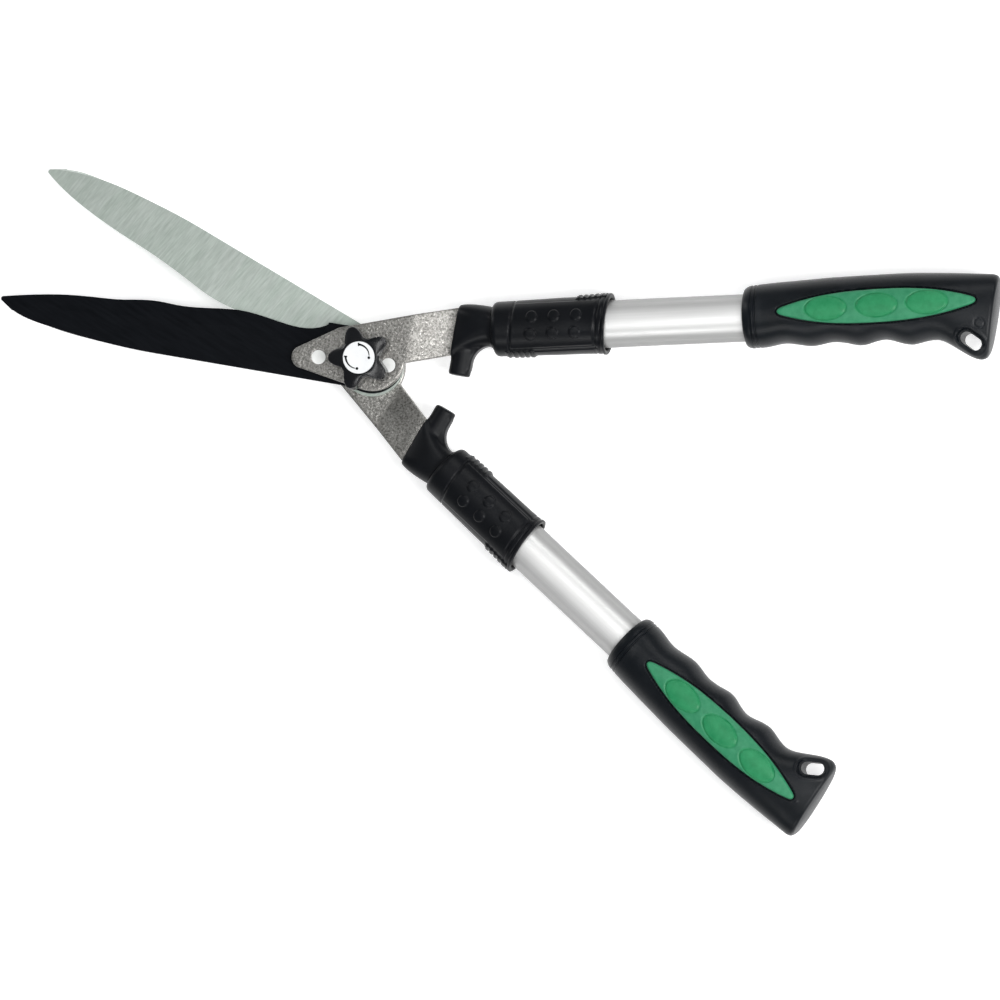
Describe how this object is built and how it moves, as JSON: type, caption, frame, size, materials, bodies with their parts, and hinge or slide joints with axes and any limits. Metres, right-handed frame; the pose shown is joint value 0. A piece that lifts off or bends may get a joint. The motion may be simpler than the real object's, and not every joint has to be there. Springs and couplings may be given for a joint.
{
  "type": "hedge shears",
  "caption": "Hand hedge shears: crossing blades with waved edges, star tension knob on the pivot, telescoping tube handles with lock collars and moulded grips.",
  "frame": {"origin": "on the pivot axis, at the rear face of the pivot bolt's head", "axes": "+Z from the bolt head to the star knob, +X along the tool from the blades to the handles, +Y towards the front arm's handle"},
  "size_m": [0.5819, 0.3582, 0.0406],
  "materials": {
    "black_blade": "satin",
    "ground_blade": "ground",
    "hammered_tang": "hammertone",
    "rivet_steel": "satin",
    "black_plastic": "satin",
    "grip_plastic": "satin",
    "tube_aluminium": "satin anodised",
    "green_rubber": "soft",
    "cap_plastic": "gloss",
    "nut_brass": "plain",
    "washer_steel": "zinc plated",
    "bolt_steel": "zinc plated",
    "nylon": "plain"
  },
  "bodies": {
    "rear_arm": {"rear_blade": "ground_blade", "rear_blade_rivets": "rivet_steel", "rear_tang": "hammered_tang", "rear_coupling": "black_plastic", "rear_inner_tube": "tube_aluminium", "rear_tube_pins": "rivet_steel", "rear_guide_bush": "nylon", "pivot_bolt": "bolt_steel"},
    "front_arm": {"front_blade": "black_blade", "front_blade_rivets": "rivet_steel", "front_tang": "hammered_tang", "front_coupling": "black_plastic", "front_inner_tube": "tube_aluminium", "front_tube_pins": "rivet_steel", "front_guide_bush": "nylon"},
    "front_handle": {"front_outer_tube": "tube_aluminium", "front_lock_collet": "nylon", "front_grip": "grip_plastic", "front_grip_inlay_top": "green_rubber", "front_grip_inlay_back": "green_rubber"},
    "front_collar": {"front_lock_collar": "black_plastic"},
    "rear_handle": {"rear_outer_tube": "tube_aluminium", "rear_lock_collet": "nylon", "rear_grip": "grip_plastic", "rear_grip_inlay_top": "green_rubber", "rear_grip_inlay_back": "green_rubber"},
    "rear_collar": {"rear_lock_collar": "black_plastic"},
    "pivot_washers": {"tension_washer": "washer_steel", "spring_washer": "washer_steel"},
    "knob": {"star_knob": "black_plastic", "knob_nut": "nut_brass", "knob_cap": "cap_plastic"}
  },
  "joints": [
    {"name": "blade_pivot", "type": "hinge", "parent": "rear_arm", "child": "front_arm", "pos_m": [0, 0, 0.01005], "axis": [0, 0, 1], "range_deg": [-20.8, 65]},
    {"name": "front_telescope", "type": "slide", "parent": "front_arm", "child": "front_handle", "axis": [0.9245, 0.3811, 0], "range_m": [0, 0.2]},
    {"name": "front_lock_twist", "type": "hinge", "parent": "front_handle", "child": "front_collar", "pos_m": [0.1052, 0.05966, 0.01005], "axis": [0.9245, 0.3811, 0], "range_deg": [0, 90]},
    {"name": "rear_telescope", "type": "slide", "parent": "rear_arm", "child": "rear_handle", "axis": [0.9245, -0.3811, 0], "range_m": [0, 0.2]},
    {"name": "rear_lock_twist", "type": "hinge", "parent": "rear_handle", "child": "rear_collar", "pos_m": [0.1052, -0.05966, 0.01005], "axis": [0.9245, -0.3811, 0], "range_deg": [0, 90]},
    {"name": "washer_lift", "type": "slide", "parent": "rear_arm", "child": "pivot_washers", "axis": [0, 0, 1], "range_m": [0, 0.0025]},
    {"name": "knob_turn", "type": "hinge", "parent": "pivot_washers", "child": "knob", "pos_m": [0, 0, 0.01005], "axis": [0, 0, 1], "range_deg": [0, 720.1]}
  ],
  "couplings": [
    {"joint": "knob_turn", "follows": "washer_lift", "rad_per_m": 5026.5}
  ]
}
